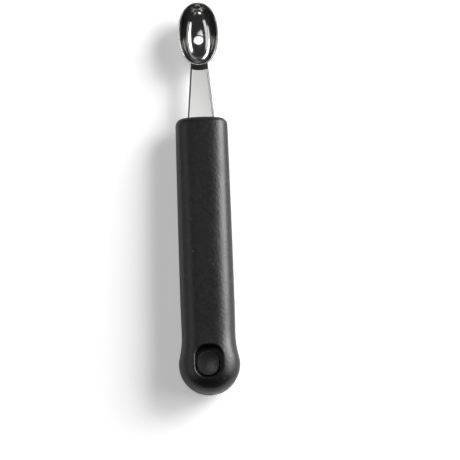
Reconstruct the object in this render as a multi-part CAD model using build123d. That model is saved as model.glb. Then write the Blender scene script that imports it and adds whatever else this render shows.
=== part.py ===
from build123d import *
import os
from math import atan, cos, degrees, pi, radians, sin, sqrt

# Oval melon baller: a pressed steel bowl welded to a flat shank, whose tang is
# moulded into a hard core, with a textured grip moulded over the core.
# Millimetres. Drawn with the bulb's centre at the origin, +Y to the tip and +Z
# out of the bowl, then laid down as it rests on a table.

# Grip, outside. Reaches are measured from the bulb's centre.
bulb_radius = 12.0
bulb_half_height = 8.5
bulb_blend_radius = 36.0
waist_half_width = 10.58
waist_half_height = 7.8
belly_half_width = 10.7
belly_half_height = 7.9
belly_reach = 27.0
front_half_width = 10.36
front_half_height = 6.3
front_reach = 100.2
front_edge_radius = 2.8
section_squareness = 2.6

# Recess in each face of the bulb
recess_length = 13.0
recess_width = 11.0
recess_corner_radius = 4.6
recess_floor_half_height = 4.2
recess_mouth_radius = 0.5
gate_radius = 0.7
gate_depth = 0.35

# Core, with the boss that shows in the recess
boss_length = 9.4
boss_width = 7.9
boss_corner_radius = 3.4
boss_half_height = 6.0
boss_edge_radius = 1.1
core_half_width = 6.8
core_half_height = 3.7
core_edge_radius = 1.5
core_nose_wall = 3.0
key_notch_radius = 2.2
key_notch_count = 4
key_notch_inset = 14.0

# Shank: neck and tang are one strip
strip_thickness = 2.0
strip_edge_radius = 0.8
neck_length = 21.9
neck_rear_half_width = 5.4
neck_front_half_width = 3.55
tang_half_width = 4.0
tang_end_before_belly = 7.0
tang_shoulder_depth = 4.0
tang_hole_radius = 2.0
tang_hole_inset = 10.0
tang_hole_pitch = 26.0
tang_hole_count = 2

# Bowl, outside sizes at the rim
bowl_half_width = 8.15
bowl_half_length = 13.1
bowl_depth = 9.9
bowl_wall = 0.9
bowl_squareness = 2.2
rim_height = 3.1
rim_land = 0.2
rim_bevel_height = 0.9
vent_radius = 1.85

# Seat of the bowl on the shank
ramp_run = 1.65
ramp_gap_below_rim = 0.35
saddle_thickness = 1.0
saddle_tongue_length = 4.8

overrun = 5.0

# Shares of a span at which sections are taken
pole_section_shares = (0.98, 0.88, 0.76, 0.62, 0.47, 0.32, 0.16)
bulb_section_shares = (0.0, 0.12, 0.25, 0.4, 0.6, 0.8, 1.0)
barrel_section_shares = (0.05, 0.11, 0.18, 0.26, 0.35, 0.45, 0.55, 0.65, 0.75, 0.84, 0.92, 1.0)
bowl_section_shares = (1.0, 0.97, 0.91, 0.82, 0.7, 0.56, 0.42, 0.28, 0.13)
oval_steps = 16

# Places worked out from the sizes above
waist_reach = sqrt((bulb_radius + bulb_blend_radius) ** 2 - (waist_half_width + bulb_blend_radius) ** 2)
bulb_tangent_reach = waist_reach * bulb_radius / (bulb_radius + bulb_blend_radius)
tang_reach = belly_reach + tang_end_before_belly
bowl_centre_reach = front_reach + neck_length + bowl_half_length
neck_slope = (neck_rear_half_width - neck_front_half_width) / neck_length


def eased(share):
    """Goes from 0 to 1 with no slope at either end."""
    return (1 - cos(pi * share)) / 2


def barrel_size(reach, waist, belly, front):
    """Half size of the barrel in front of the waist, for width and height alike."""
    if reach < belly_reach:
        return waist + (belly - waist) * eased((reach - waist_reach) / (belly_reach - waist_reach))
    return belly - (belly - front) * ((reach - belly_reach) / (front_reach - belly_reach)) ** 2


def half_width(reach):
    """The plan: round bulb, hollow blend, then the barrel."""
    if reach < bulb_tangent_reach:
        return sqrt(bulb_radius**2 - reach**2)
    if reach < waist_reach:
        hollow = sqrt(bulb_blend_radius**2 - (waist_reach - reach) ** 2)
        return waist_half_width + bulb_blend_radius - hollow
    return barrel_size(reach, waist_half_width, belly_half_width, front_half_width)


def half_height(reach):
    """The side view: round rear end, gentle fall to the waist, then the tapering barrel."""
    if reach < 0:
        return bulb_half_height * (1 - (-reach / bulb_radius) ** section_squareness) ** (1 / section_squareness)
    if reach < waist_reach:
        return bulb_half_height + (waist_half_height - bulb_half_height) * eased(reach / waist_reach)
    return barrel_size(reach, waist_half_height, belly_half_height, front_half_height)


def power_of(value, power):
    """A power that keeps the sign of its base."""
    return abs(value) ** power if value >= 0 else -(abs(value) ** power)


def oval_face(across, along, squareness):
    """A superellipse in the XY plane, bounded by one smooth closed curve."""
    turns = [2 * pi * step / oval_steps for step in range(oval_steps)]
    power = 2 / squareness
    points = [(across * power_of(cos(turn), power), along * power_of(sin(turn), power)) for turn in turns]
    return make_face(Spline(*points, periodic=True))


def rounded_block(length, width, corner, low, high):
    """An upright block on the bulb's centre with rounded corners in plan."""
    outline = Pos(0, 0, low) * RectangleRounded(width, length, corner)
    return extrude(outline, high - low)


# Grip and core

def grip_blank():
    """Outside of the handle as one loft, from the gate at the rear pole to the front face."""
    reaches = [-bulb_radius * sin(radians(90 * share)) for share in pole_section_shares]
    reaches += [share * waist_reach for share in bulb_section_shares]
    reaches += [waist_reach + share * (front_reach - waist_reach) for share in barrel_section_shares]
    sections = []
    for reach in reaches:
        upright = Plane(origin=(0, reach, 0), x_dir=(1, 0, 0), z_dir=(0, -1, 0))
        sections.append(upright * oval_face(half_width(reach), half_height(reach), section_squareness))
    blank = loft(sections)
    return fillet(blank.faces().sort_by(Axis.Y)[-1].edges(), front_edge_radius)


def recess_cut():
    """What both faces of the bulb lose around the boss."""
    upper = rounded_block(
        recess_length, recess_width, recess_corner_radius,
        recess_floor_half_height, bulb_half_height + overrun,
    )
    return upper + mirror(upper, about=Plane.XY)


def core_blank():
    """Flat bar with a round rear end, side notches that key the grip, and the boss."""
    nose = front_reach - core_nose_wall
    bar = Pos(0, nose / 2, 0) * Box(2 * core_half_width, nose, 2 * core_half_height)
    bar += Cylinder(core_half_width, 2 * core_half_height)
    bar = fillet(bar.faces().filter_by(Axis.Z).edges(), core_edge_radius)
    pitch = (nose - 2 * key_notch_inset) / (key_notch_count - 1)
    notch = Cylinder(key_notch_radius, 2 * (core_half_height + overrun))
    for index in range(key_notch_count):
        for side in (-1, 1):
            bar -= Pos(side * core_half_width, key_notch_inset + index * pitch, 0) * notch
    boss = rounded_block(boss_length, boss_width, boss_corner_radius, -boss_half_height, boss_half_height)
    return bar + fillet(boss.faces().filter_by(Axis.Z).edges(), boss_edge_radius)


# Shank and bowl

def neck_half_width(reach):
    return neck_rear_half_width - neck_slope * (reach - front_reach)


def bowl_outline(offset):
    return oval_face(bowl_half_width + offset, bowl_half_length + offset, bowl_squareness)


def cup(offset):
    """The bowl's outside as a solid below the rim, grown or shrunk by an offset."""
    depth = bowl_depth + offset
    sections = []
    for share in bowl_section_shares:
        drop = depth * (1 - share**bowl_squareness) ** (1 / bowl_squareness)
        across = (bowl_half_width + offset) * share
        along = (bowl_half_length + offset) * share
        outline = oval_face(across, along, bowl_squareness)
        sections.append(Pos(0, bowl_centre_reach, rim_height - drop) * outline)
    return loft(sections)


def bowl_solid():
    """Pressed cup with a vent in its bottom and its rim ground from inside to a narrow land."""
    shell = cup(0) - cup(-bowl_wall)
    vent = Pos(0, bowl_centre_reach, rim_height - bowl_depth) * Cylinder(vent_radius, 2 * bowl_wall + overrun)
    foot = Pos(0, bowl_centre_reach, rim_height - rim_bevel_height) * bowl_outline(-bowl_wall)
    land = Pos(0, bowl_centre_reach, rim_height) * bowl_outline(-rim_land)
    return shell - vent - loft([foot, land], ruled=True)


def strip_blank():
    """The flat strip in plan: tapered neck, shoulders, then the round-ended tang."""
    shoulder = front_reach - tang_shoulder_depth
    neck_end = bowl_centre_reach
    rear = tang_reach + tang_half_width
    corners = [
        (tang_half_width, rear),
        (tang_half_width, shoulder - tang_shoulder_depth),
        (neck_half_width(shoulder), shoulder),
        (neck_half_width(neck_end), neck_end),
    ]
    mirrored = [(-x, y) for x, y in reversed(corners)]
    sides = Polyline(*corners, *mirrored)
    round_end = ThreePointArc(mirrored[-1], (0, tang_reach), corners[0])
    strip = extrude(make_face([sides, round_end]), strip_thickness / 2, both=True)
    neck_edges = [
        edge for edge in strip.faces().filter_by(Axis.Z).edges()
        if edge.center().Y > shoulder and edge.length > neck_length
    ]
    strip = fillet(neck_edges, strip_edge_radius)
    for index in range(tang_hole_count):
        hole_reach = tang_reach + tang_hole_inset + index * tang_hole_pitch
        strip -= Pos(0, hole_reach, 0) * Cylinder(tang_hole_radius, strip_thickness + overrun)
    return strip


def seat_blank():
    """Ramp above the strip and cupped tongue below the bowl, as wide as the neck."""
    ramp_top = rim_height - ramp_gap_below_rim
    foot = Pos(0, bowl_centre_reach, strip_thickness / 2) * bowl_outline(ramp_run)
    top = Pos(0, bowl_centre_reach, ramp_top) * bowl_outline(0)
    ramp = loft([foot, top], ruled=True)
    tongue_tip = bowl_centre_reach - bowl_half_length + saddle_tongue_length
    tongue_half_width = neck_half_width(tongue_tip)
    rear = bowl_centre_reach - bowl_half_length - ramp_run - overrun
    corners = [
        (tongue_half_width, tongue_tip - tongue_half_width),
        (neck_half_width(rear), rear),
        (-neck_half_width(rear), rear),
        (-tongue_half_width, tongue_tip - tongue_half_width),
    ]
    tip = ThreePointArc(corners[-1], (0, tongue_tip), corners[0])
    plan = make_face([Polyline(*corners), tip])
    low = rim_height - bowl_depth - saddle_thickness - overrun
    upper = extrude(Pos(0, 0, strip_thickness / 2) * plan, ramp_top - strip_thickness / 2)
    lower = extrude(Pos(0, 0, low) * plan, strip_thickness / 2 - low)
    return (ramp & upper) + (cup(saddle_thickness) & lower)


def shank_solid():
    blank = strip_blank() + seat_blank()
    blank -= cup(0)
    return blank.solids().sort_by(SortBy.VOLUME)[-1]


def grip_solid(inside):
    """Overmoulding: the blank less its recesses, the gate mark and what it is moulded round."""
    outside = grip_blank() - recess_cut()
    half_way_down = (recess_floor_half_height + bulb_half_height) / 2
    mouths = [
        edge for edge in outside.edges()
        if abs(edge.center().Z) > half_way_down and abs(edge.center().Y) < recess_length
    ]
    outside = fillet(mouths, recess_mouth_radius)
    gate = Pos(0, -bulb_radius, 0) * Rot(90, 0, 0) * Cylinder(gate_radius, 2 * gate_depth)
    return outside - gate - inside


bowl = bowl_solid()
shank = shank_solid()
core = core_blank() - shank
grip = grip_solid(core_blank() + shank)

pieces = {"scoop_bowl": bowl, "shank": shank, "handle_core": core, "handle_grip": grip}

# The tool lies on the belly of its handle and on the far edge of the vent, so the table
# is the steepest line that passes from that edge below the handle.
vent_edge_reach = bowl_centre_reach + vent_radius
vent_edge_drop = bowl_depth * (1 - (vent_radius / bowl_half_length) ** bowl_squareness) ** (1 / bowl_squareness)
vent_edge_height = rim_height - vent_edge_drop
reaches = [waist_reach + share * (front_reach - waist_reach) for share in barrel_section_shares]
slopes = [(half_height(reach) + vent_edge_height) / (vent_edge_reach - reach) for reach in reaches]
rest_angle = atan(max(slopes))
table_height = vent_edge_height * cos(rest_angle) - vent_edge_reach * sin(rest_angle)

lying = {name: Rot(-degrees(rest_angle), 0, 0) * piece for name, piece in pieces.items()}
boxes = [piece.bounding_box() for piece in lying.values()]
middle = (max(box.max.Y for box in boxes) + min(box.min.Y for box in boxes)) / 2

os.makedirs("parts", exist_ok=True)
for name, piece in lying.items():
    export_step(Pos(0, -middle, -table_height) * piece, f"parts/{name}.step")
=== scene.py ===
from math import acos, asin, cos, degrees, pi, radians, sin

import bmesh
import bpy
from mathutils import Matrix, Vector


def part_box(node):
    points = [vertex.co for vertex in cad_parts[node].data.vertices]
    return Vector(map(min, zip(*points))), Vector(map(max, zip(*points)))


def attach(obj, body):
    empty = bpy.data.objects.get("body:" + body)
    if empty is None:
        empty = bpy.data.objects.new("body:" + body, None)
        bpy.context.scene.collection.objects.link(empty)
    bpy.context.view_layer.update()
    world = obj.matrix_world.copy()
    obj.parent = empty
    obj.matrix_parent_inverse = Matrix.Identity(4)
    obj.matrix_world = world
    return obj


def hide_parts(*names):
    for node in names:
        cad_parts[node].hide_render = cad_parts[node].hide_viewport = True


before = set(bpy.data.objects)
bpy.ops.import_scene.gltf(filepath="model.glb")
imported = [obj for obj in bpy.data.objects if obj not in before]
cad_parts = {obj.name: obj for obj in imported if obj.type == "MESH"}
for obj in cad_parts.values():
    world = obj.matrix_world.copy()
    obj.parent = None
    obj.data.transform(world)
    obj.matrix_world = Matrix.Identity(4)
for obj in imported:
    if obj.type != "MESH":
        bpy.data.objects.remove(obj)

bpy.context.view_layer.update()


# Camera. It looks down on the tool from a little behind the handle's end. Places are
# measured from the middle of the bulb with the tool level, and as_laid tilts them to
# where the tool rests on the belly of its handle and on its bowl.
mm = 0.001
bulb_radius = 12 * mm
rest_tilt = radians(-0.66)
bulb_height = 8.317 * mm
bulb_centre = Vector((0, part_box("handle_grip")[0].y + bulb_radius, bulb_height))
as_laid = Matrix.Translation(bulb_centre) @ Matrix.Rotation(rest_tilt, 4, "X")

picture_pixels = 460
focal_pixels = 3527.5
camera_distance = 1400 * mm
camera_lean = radians(14)
camera_roll = radians(-2.043)
camera_aim = Vector((9.96 * mm, 54.25 * mm, 0))

camera_data = bpy.data.cameras.new("camera")
camera_data.sensor_width = 36
camera_data.lens = focal_pixels * camera_data.sensor_width / picture_pixels
camera_data.clip_end = 10
camera = bpy.data.objects.new("camera", camera_data)
turned = Matrix.Rotation(camera_lean, 4, "X") @ Matrix.Rotation(camera_roll, 4, "Z")
back_off = Matrix.Translation((0, 0, camera_distance))
camera.matrix_world = as_laid @ Matrix.Translation(camera_aim) @ turned @ back_off
bpy.context.scene.collection.objects.link(camera)
bpy.context.scene.camera = camera
bpy.context.scene.view_settings.view_transform = "Standard"


# Grip: a soft elastomer moulded over the core, from the front face round to the bulb,
# with a recess in each face of the bulb where the core shows. The mould was spark
# eroded, so the skin is finely pitted, dull and a little uneven.
mottle_size = 1.1 * mm
pit_size = 0.3 * mm
handling_size = 9 * mm


def linear(code):
    """A colour written as sRGB hex, as the linear colour that a shader takes."""
    shares = [int(code[place:place + 2], 16) / 255 for place in (1, 3, 5)]
    return [s / 12.92 if s <= 0.04045 else ((s + 0.055) / 1.055) ** 2.4 for s in shares] + [1]


def node(material, kind, links=(), **settings):
    """Adds a node, sets its attributes or inputs, and links each input to another node's output."""
    added = material.node_tree.nodes.new("ShaderNode" + kind)
    for name, value in settings.items():
        if hasattr(added, name):
            setattr(added, name, value)
        else:
            added.inputs[name.replace("_", " ")].default_value = value
    for name, source in dict(links).items():
        material.node_tree.links.new(source, added.inputs[name])
    return added


def finish_named(name, **settings):
    """A new material and its shader, with the uniform values set on the shader's inputs."""
    material = bpy.data.materials.new(name)
    material.use_nodes = True
    shader = material.node_tree.nodes["Principled BSDF"]
    for socket, value in settings.items():
        shader.inputs[socket.replace("_", " ")].default_value = value
    return material, shader


def feed(shader, **sources):
    """Links other nodes' outputs to the shader's inputs."""
    for socket, source in sources.items():
        shader.id_data.links.new(source, shader.inputs[socket.replace("_", " ")])


def give(obj, material):
    obj.data.materials.clear()
    obj.data.materials.append(material)


# Deep black that takes a broad, grainy light along its side, faintly clouded, with
# a few pale specks of lint.
grip_plastic, shader = finish_named("spark_eroded_tpe_black", Specular_IOR_Level=0.54)
spot = node(grip_plastic, "TexCoord").outputs["Object"]
mottle = node(grip_plastic, "TexNoise", {"Vector": spot}, Scale=1 / mottle_size, Detail=3)
clumps = node(grip_plastic, "MapRange", {"Value": mottle.outputs["Fac"]}, From_Min=0.36, From_Max=0.66)
tone = node(
    grip_plastic, "MixRGB", {"Fac": clumps.outputs["Result"]},
    Color1=linear("#010101"), Color2=linear("#121213"),
)
lint = node(grip_plastic, "TexNoise", {"Vector": spot}, Scale=1 / mottle_size, Detail=1)
speck = node(grip_plastic, "MapRange", {"Value": lint.outputs["Fac"]}, From_Min=0.77, From_Max=0.81)
dusted = node(
    grip_plastic, "MixRGB", {"Fac": speck.outputs["Result"], "Color1": tone.outputs["Color"]},
    Color2=linear("#565654"),
)
handled = node(grip_plastic, "TexNoise", {"Vector": spot}, Scale=1 / handling_size, Detail=2)
dull = node(
    grip_plastic, "MapRange", {"Value": handled.outputs["Fac"]},
    From_Min=0.3, From_Max=0.7, To_Min=0.35, To_Max=0.42,
)
uneven = node(grip_plastic, "Bump", {"Height": mottle.outputs["Fac"]}, Strength=1, Distance=0.1 * mm)
pits = node(grip_plastic, "TexNoise", {"Vector": spot}, Scale=1 / pit_size, Detail=2)
pitted = node(
    grip_plastic, "Bump", {"Height": pits.outputs["Fac"], "Normal": uneven.outputs["Normal"]},
    Strength=1, Distance=0.02 * mm,
)
feed(
    shader,
    Base_Color=dusted.outputs["Color"], Roughness=dull.outputs["Result"], Normal=pitted.outputs["Normal"],
)
give(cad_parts["handle_grip"], grip_plastic)


# Core: a hard polypropylene bar moulded round the tang, with notches in its sides that
# lock the grip on, and a dished boss that stands in the recess on each face. The boss is
# wider than the hole in the grip's own mesh, and cuts into it unseen below the recess.
core_half_width = 6.8 * mm
core_half_height = 3.7 * mm
core_edge_radius = 1.5 * mm
core_front = 97.2 * mm
notch_radius = 2.2 * mm
notch_inset = 14 * mm
notch_count = 4
notch_steps = 14
round_end_steps = 16
boss_half_width = 4.55 * mm
boss_half_length = 5.15 * mm
boss_corner_radius = 4.3 * mm
boss_corner_steps = 14
boss_height = 5.4 * mm
boss_dish = 0.42 * mm
boss_dish_shares = (0.95, 0.88, 0.8, 0.7, 0.6, 0.45, 0.3, 0.15)
boss_edge_radius = 0.5 * mm
boss_offset = Vector((-0.4 * mm, -0.35 * mm, 0))
edge_steps = 6
sharp_from = radians(40)
cloud_size = 3 * mm
rub_size = 0.8 * mm


def arc(middle, radius, first, last, steps):
    """Points of an arc in the XY plane, with its angles in degrees."""
    turns = [radians(first + (last - first) * step / steps) for step in range(steps + 1)]
    return [middle + radius * Vector((cos(turn), sin(turn), 0)) for turn in turns]


def skinned(name, rows, fanned):
    """A closed mesh over rows of points that each close round. The run of rows ends in
    a fan of faces at both ends, or its last row joins its first."""
    points = [tuple(point) for row in rows for point in row]
    width = len(rows[0])
    bands = len(rows) - 1 if fanned else len(rows)
    faces = []
    for level in range(bands):
        low = level * width
        high = (level + 1) % len(rows) * width
        for c in range(width):
            beside = (c + 1) % width
            faces.append((low + c, low + beside, high + beside, high + c))
    if fanned:
        for level in (0, len(rows) - 1):
            points.append(tuple(sum(rows[level], Vector()) / width))
            for c in range(width):
                faces.append((level * width + c, level * width + (c + 1) % width, len(points) - 1))
    mesh = bpy.data.meshes.new(name)
    mesh.from_pydata(points, [], faces)
    return mesh


def laid_down(mesh):
    """The mesh as an object that lies as the tool lies, smooth shaded, its faces turned outwards."""
    shape = bmesh.new()
    shape.from_mesh(mesh)
    bmesh.ops.transform(shape, matrix=as_laid, verts=shape.verts)
    bmesh.ops.recalc_face_normals(shape, faces=shape.faces)
    shape.to_mesh(mesh)
    shape.free()
    mesh.shade_smooth()
    piece = bpy.data.objects.new(mesh.name, mesh)
    bpy.context.scene.collection.objects.link(piece)
    return piece


def core_side(inset):
    """The bar's right side from the front corner back to the round end, less its notches."""
    side = core_half_width - inset
    points = [Vector((side, core_front - inset, 0))]
    pitch = (core_front - 2 * notch_inset) / (notch_count - 1)
    for index in reversed(range(notch_count)):
        middle = Vector((core_half_width, notch_inset + index * pitch, 0))
        reach = notch_radius + inset
        dip = 90 - degrees(acos(inset / reach))
        points += arc(middle, reach, 90 + dip, 270 - dip, notch_steps)
    return points + arc(Vector(), side, 0, -90, round_end_steps)


def core_outline(inset, height):
    right = core_side(inset)
    left = [Vector((-point.x, point.y, 0)) for point in reversed(right[:-1])]
    return [point + Vector((0, 0, height)) for point in right + left]


def boss_outline(share, height):
    across = boss_half_width - boss_corner_radius
    along = boss_half_length - boss_corner_radius
    corners = ((across, along, 0), (-across, along, 90), (-across, -along, 180), (across, -along, 270))
    points = []
    for x, y, turn in corners:
        points += arc(Vector((x, y, 0)), boss_corner_radius, turn, turn + 90, boss_corner_steps)
    return [Vector((point.x * share, point.y * share, height)) + boss_offset for point in points]


# Black with a clear, smooth gloss, a little lighter than the grip, with the faint waves
# and rubs of handled plastic.
core_plastic, shader = finish_named("gloss_polypropylene_black", Specular_IOR_Level=0.9)
spot = node(core_plastic, "TexCoord").outputs["Object"]
cloud = node(core_plastic, "TexNoise", {"Vector": spot}, Scale=1 / cloud_size, Detail=2)
tone = node(
    core_plastic, "MixRGB", {"Fac": cloud.outputs["Fac"]},
    Color1=linear("#131314"), Color2=linear("#1e1e1f"),
)
rubs = node(core_plastic, "TexNoise", {"Vector": spot}, Scale=1 / rub_size, Detail=4)
gloss = node(
    core_plastic, "MapRange", {"Value": rubs.outputs["Fac"]},
    From_Min=0.35, From_Max=0.7, To_Min=0.26, To_Max=0.32,
)
waves = node(core_plastic, "Bump", {"Height": cloud.outputs["Fac"]}, Strength=1, Distance=0.02 * mm)
feed(
    shader,
    Base_Color=tone.outputs["Color"], Roughness=gloss.outputs["Result"], Normal=waves.outputs["Normal"],
)

edge_turns = [radians(90 * step / edge_steps) for step in range(edge_steps + 1)]
upper = [
    (core_edge_radius * (1 - sin(turn)), core_half_height - core_edge_radius * (1 - cos(turn)))
    for turn in edge_turns
]
levels = [(inset, -height) for inset, height in upper] + upper[::-1]
bar_mesh = skinned("core", [core_outline(inset, height) for inset, height in levels], fanned=True)
shoulder = 1 - boss_edge_radius / boss_half_width
edge_level = boss_height - boss_edge_radius
face = [
    (shoulder + (1 - shoulder) * cos(turn), edge_level + boss_edge_radius * sin(turn))
    for turn in edge_turns
]
face += [(shoulder * share, boss_height - boss_dish * (1 - share ** 2)) for share in boss_dish_shares]
levels = [(share, -height) for share, height in reversed(face)] + face
boss_mesh = skinned("boss", [boss_outline(share, height) for share, height in levels], fanned=True)
core, boss = laid_down(bar_mesh), laid_down(boss_mesh)
for operation, other in (("UNION", boss), ("DIFFERENCE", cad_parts["shank"])):
    change = core.modifiers.new(operation, "BOOLEAN")
    change.operation = operation
    change.solver = "EXACT"
    change.object = other
core.data = bpy.data.meshes.new_from_object(core.evaluated_get(bpy.context.evaluated_depsgraph_get()))
core.modifiers.clear()
core.data.set_sharp_from_angle(angle=sharp_from)
bpy.data.objects.remove(boss)
give(core, core_plastic)
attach(core, "root")
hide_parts("handle_core")


# Scoop bowl: an oval cup pressed from stainless sheet, with a vent punched in its bottom
# and its rim ground from inside to a narrow land. It is buffed to a mirror and welded
# to the front of the shank.
bowl_reach = 135.2 * mm
rim_height = 3.1 * mm
bowl_half_width = 8.15 * mm
bowl_half_length = 13.1 * mm
bowl_depth = 9.9 * mm
bowl_wall = 0.9 * mm
outside_fullness = 0.032
inside_fullness = 0.08
rim_land = 0.42 * mm
rim_bevel_height = 1.6 * mm
rim_edge_radius = 0.08 * mm
vent_radius = 1.85 * mm
vent_edge_radius = 0.15 * mm
turns_round = 176
inside_rows = 60
outside_rows = 44
outside_first_dip = 0.02
haze_size = 5 * mm
ripple_size = 2.5 * mm
buffing_grain = (0.25 * mm, 7 * mm, 0.6 * mm)


def cup_swell(angle, fullness=outside_fullness):
    """How far a full oval stands outside an ellipse at that angle."""
    return 1 + fullness * sin(2 * angle) ** 2


def fullness_at(offset):
    """The section's fullness, from the outside's at no offset to the inside's at the wall's depth."""
    return outside_fullness + (outside_fullness - inside_fullness) * offset / bowl_wall


def cup_point(turn, dip, offset):
    """On the cup, turned round its rim and dipped from 0 at the rim to a right angle at the bottom."""
    swell = cup_swell(dip, fullness_at(offset))
    level = cos(dip) * swell * cup_swell(turn)
    across = (bowl_half_width + offset) * level * cos(turn)
    along = (bowl_half_length + offset) * level * sin(turn)
    return Vector((across, along, -(bowl_depth + offset) * sin(dip) * swell))


def dip_at_radius(turn, radius, offset):
    """Where the cup comes within that radius of its middle."""
    share = radius / cup_point(turn, 0, offset).length
    return pi / 2 - asin(share / cup_swell(asin(share), fullness_at(offset)))


def softened(corner, before, after, radius, steps=4):
    """The points that round a corner off towards its two neighbours."""
    start = corner + (before - corner).normalized() * radius
    end = corner + (after - corner).normalized() * radius
    shares = [step / steps for step in range(steps + 1)]
    return [start * (1 - s) ** 2 + corner * 2 * s * (1 - s) + end * s ** 2 for s in shares]


def spread(first, last, count):
    return [first + (last - first) * step / (count - 1) for step in range(count)]


def cup_profile(turn):
    """The wall's closed outline at one turn: up the inside, over the rim, down the outside."""
    foot_dip = asin(rim_bevel_height / (bowl_depth - bowl_wall))
    inner_vent = dip_at_radius(turn, vent_radius + vent_edge_radius, -bowl_wall)
    outer_vent = dip_at_radius(turn, vent_radius + vent_edge_radius, 0)
    inside = [cup_point(turn, dip, -bowl_wall) for dip in spread(inner_vent, foot_dip, inside_rows)]
    outside = [cup_point(turn, dip, 0) for dip in spread(outside_first_dip, outer_vent, outside_rows)]
    land = cup_point(turn, 0, -rim_land)
    edge = cup_point(turn, 0, 0)
    vent = [point * (vent_radius / point.xy.length) for point in (inside[0], outside[-1])]
    vent_top = Vector((vent[0].x, vent[0].y, inside[0].z))
    vent_foot = Vector((vent[1].x, vent[1].y, outside[-1].z))
    return (
        inside[:-1]
        + softened(inside[-1], inside[-2], land, rim_edge_radius)
        + softened(land, inside[-1], edge, rim_edge_radius)
        + softened(edge, land, outside[1], rim_edge_radius)
        + outside[1:-1]
        + softened(vent_foot, outside[-1], vent_top, vent_edge_radius)
        + softened(vent_top, vent_foot, inside[0], vent_edge_radius)
    )


# Mirrors the studio as clear strips of light on dark steel, slightly rippled by the
# press and drawn out lengthwise by the buffing wheel.
bowl_steel, shader = finish_named("mirror_buffed_stainless", Metallic=1)
spot = node(bowl_steel, "TexCoord").outputs["Object"]
haze = node(bowl_steel, "TexNoise", {"Vector": spot}, Scale=1 / haze_size, Detail=3)
tone = node(
    bowl_steel, "MixRGB", {"Fac": haze.outputs["Fac"]},
    Color1=linear("#b9b9b8"), Color2=linear("#c8c8c7"),
)
gloss = node(
    bowl_steel, "MapRange", {"Value": haze.outputs["Fac"]},
    From_Min=0.3, From_Max=0.7, To_Min=0.1, To_Max=0.16,
)
ripple = node(bowl_steel, "TexNoise", {"Vector": spot}, Scale=1 / ripple_size, Detail=1)
rippled = node(bowl_steel, "Bump", {"Height": ripple.outputs["Fac"]}, Strength=1, Distance=0.03 * mm)
drawn = node(bowl_steel, "Mapping", {"Vector": spot}, Scale=[1 / size for size in buffing_grain])
lines = node(bowl_steel, "TexNoise", {"Vector": drawn.outputs["Vector"]}, Scale=1, Detail=2)
buffed = node(
    bowl_steel, "Bump", {"Height": lines.outputs["Fac"], "Normal": rippled.outputs["Normal"]},
    Strength=1, Distance=0.006 * mm,
)
feed(
    shader,
    Base_Color=tone.outputs["Color"], Roughness=gloss.outputs["Result"], Normal=buffed.outputs["Normal"],
)

bowl_rows = [cup_profile(2 * pi * step / turns_round) for step in range(turns_round)]
bowl_mesh = skinned("bowl", bowl_rows, fanned=False)
bowl_mesh.transform(Matrix.Translation((0, bowl_reach, rim_height)))
bowl = laid_down(bowl_mesh)
give(bowl, bowl_steel)
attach(bowl, "root")
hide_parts("scoop_bowl")


# Shank: a flat strip of stainless steel, blanked with a tapered neck and a tang with two
# holes that the core fills. Its faces are polished along their length, its rounded edges
# are only tumbled, and its front end is worked up into the ramp that holds the bowl.
polishing_grain = (0.16 * mm, 9 * mm, 0.5 * mm)
flat_upright_share = 0.995
edge_upright_share = 0.93

# An even pale grey that mirrors softly, with duller tumbled edges that are painted dark grey as shade.
neck_steel, shader = finish_named("satin_stainless", Metallic=1)
spot = node(neck_steel, "TexCoord").outputs["Object"]
drawn = node(neck_steel, "Mapping", {"Vector": spot}, Scale=[1 / size for size in polishing_grain])
grain = node(neck_steel, "TexNoise", {"Vector": drawn.outputs["Vector"]}, Scale=1, Detail=3)
tone = node(
    neck_steel, "MixRGB", {"Fac": grain.outputs["Fac"]},
    Color1=linear("#e3e3e2"), Color2=linear("#e9e9e8"),
)
normal = node(neck_steel, "SeparateXYZ", {"Vector": node(neck_steel, "NewGeometry").outputs["Normal"]})
upright = node(neck_steel, "Math", {0: normal.outputs["Z"]}, operation="ABSOLUTE")
edge = node(
    neck_steel, "MapRange", {"Value": upright.outputs["Value"]},
    From_Min=flat_upright_share, From_Max=edge_upright_share, To_Min=0, To_Max=1,
)
# Painted shade: the sloped edges get a dark grey that stands in for the dark they mirror; only their
# dullness is the tumbling.
edges_painted_dark = node(
    neck_steel, "MixRGB", {"Fac": edge.outputs["Result"], "Color1": tone.outputs["Color"]},
    Color2=linear("#5c5c5a"),
)
satin = node(
    neck_steel, "MapRange", {"Value": grain.outputs["Fac"]},
    From_Min=0.3, From_Max=0.7, To_Min=0.16, To_Max=0.18,
)
dulled = node(
    neck_steel, "MapRange", {"Value": edge.outputs["Result"], "To Min": satin.outputs["Result"]},
    To_Max=0.5,
)
polished = node(neck_steel, "Bump", {"Height": grain.outputs["Fac"]}, Strength=1, Distance=0.0003 * mm)
feed(
    shader,
    Base_Color=edges_painted_dark.outputs["Color"], Roughness=dulled.outputs["Result"],
    Normal=polished.outputs["Normal"],
)
give(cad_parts["shank"], neck_steel)


# Floor: a sheet of plain white paper. It adds a glow of its own for the camera, so that
# it comes out white, and a weaker one in mirror images. The paper under the vent lies
# in the bowl's shadow, and a painted pool of light glows there, so the hole shows white.
floor_half = 1.5
mirrored_share = 0.35
painted_vent_glow_radius = 2.2 * mm
painted_vent_glow_end = 3.6 * mm
painted_vent_glow = 0.85
floor_glow = 0.28

floor_mesh = bpy.data.meshes.new("floor")
corners = [(x * floor_half, y * floor_half, 0) for x, y in ((-1, -1), (1, -1), (1, 1), (-1, 1))]
floor_mesh.from_pydata(corners, [], [(0, 1, 2, 3)])
floor = bpy.data.objects.new("floor", floor_mesh)
bpy.context.scene.collection.objects.link(floor)

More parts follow.
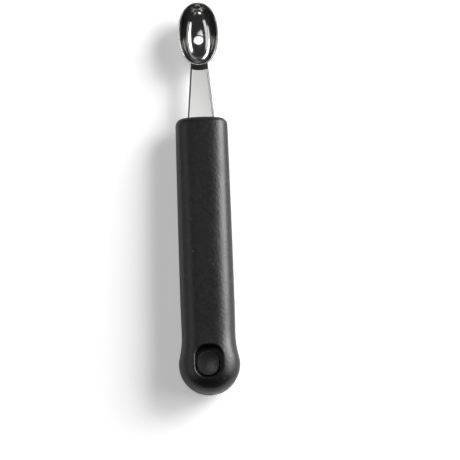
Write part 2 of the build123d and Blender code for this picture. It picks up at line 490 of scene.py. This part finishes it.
# Flat white with no gloss, which keeps the soft grey of the tool's shadow.
paper, shader = finish_named("white_paper", Base_Color=linear("#fafafa"), Roughness=0.9)
path = node(paper, "LightPath")
mirrored = node(paper, "Math", {0: path.outputs["Is Glossy Ray"]}, operation="MULTIPLY")
mirrored.inputs[1].default_value = mirrored_share
seen = node(
    paper, "Math", {0: path.outputs["Is Camera Ray"], 1: mirrored.outputs["Value"]}, operation="ADD",
)
place = node(paper, "TexCoord")
vent_place = as_laid @ Vector((0, bowl_reach, 0))
from_vent = node(paper, "VectorMath", {0: place.outputs["Object"]}, operation="DISTANCE")
from_vent.inputs[1].default_value = (vent_place.x, vent_place.y, 0)
# Painted light: a stronger glow on the paper round the vent, where it lies in shade.
lit = node(
    paper, "MapRange", {"Value": from_vent.outputs["Value"]},
    From_Min=painted_vent_glow_radius, From_Max=painted_vent_glow_end, To_Min=painted_vent_glow, To_Max=floor_glow,
)
glow = node(paper, "Emission", {"Strength": lit.outputs["Result"]})
glowing = node(paper, "AddShader", {0: shader.outputs["BSDF"], 1: glow.outputs["Emission"]})
mixed = node(
    paper, "MixShader",
    {"Fac": seen.outputs["Value"], 1: shader.outputs["BSDF"], 2: glowing.outputs["Shader"]},
)
tree = paper.node_tree
tree.links.new(mixed.outputs["Shader"], tree.nodes["Material Output"].inputs["Surface"])
give(floor, paper)


# Lights: soft rectangles round the tool. The two on its right and the left panel light
# the handle's sides and lie as strips in the bowl, and the one overhead is mirrored by
# the neck and the boss. Two weak ones fill in from the left and from beyond the tip.
beside_handle = Vector((0, 0.02, 0))
beside_bowl = Vector((0, 0.14, 0))
near_middle = Vector((0, 0.06, 0))
room_light = 0.045


def softbox(name, brightness, size, azimuth, elevation, distance, aim_at):
    """A rectangular soft light facing the tool. Brightness 1 shows as white in a mirror."""
    data = bpy.data.lights.new(name, "AREA")
    data.shape = "RECTANGLE"
    data.size, data.size_y = size
    data.energy = brightness * pi * data.size * data.size_y
    lamp = bpy.data.objects.new(name, data)
    level = Matrix.Rotation(radians(azimuth), 4, "Z") @ Matrix.Rotation(radians(90 - elevation), 4, "Y")
    away = Matrix.Translation((0, 0, distance)) @ Matrix.Rotation(pi / 2, 4, "Z")
    lamp.matrix_world = Matrix.Translation(aim_at) @ level @ away
    bpy.context.scene.collection.objects.link(lamp)


softbox("key_softbox", 9.2, (1.0, 0.98), 29, 25, 1.6, beside_handle)
softbox("right_panel", 3.3, (1.15, 0.86), 12, 27, 1.0, beside_handle)
softbox("left_panel", 1.25, (1.3, 0.36), 182, 45, 1.0, beside_bowl)
softbox("left_fill", 0.4, (1.3, 0.5), 182, 17, 1.0, beside_bowl)
softbox("top_panel", 1.43, (0.3, 0.25), 122, 75, 1.0, near_middle)
softbox("back_panel", 0.3, (1.2, 0.35), 90, 12, 0.9, beside_handle)

world = bpy.data.worlds.new("studio")
bpy.context.scene.world = world
world.use_nodes = True
background = world.node_tree.nodes["Background"]
background.inputs["Color"].default_value = linear("#ffffff")
background.inputs["Strength"].default_value = room_light
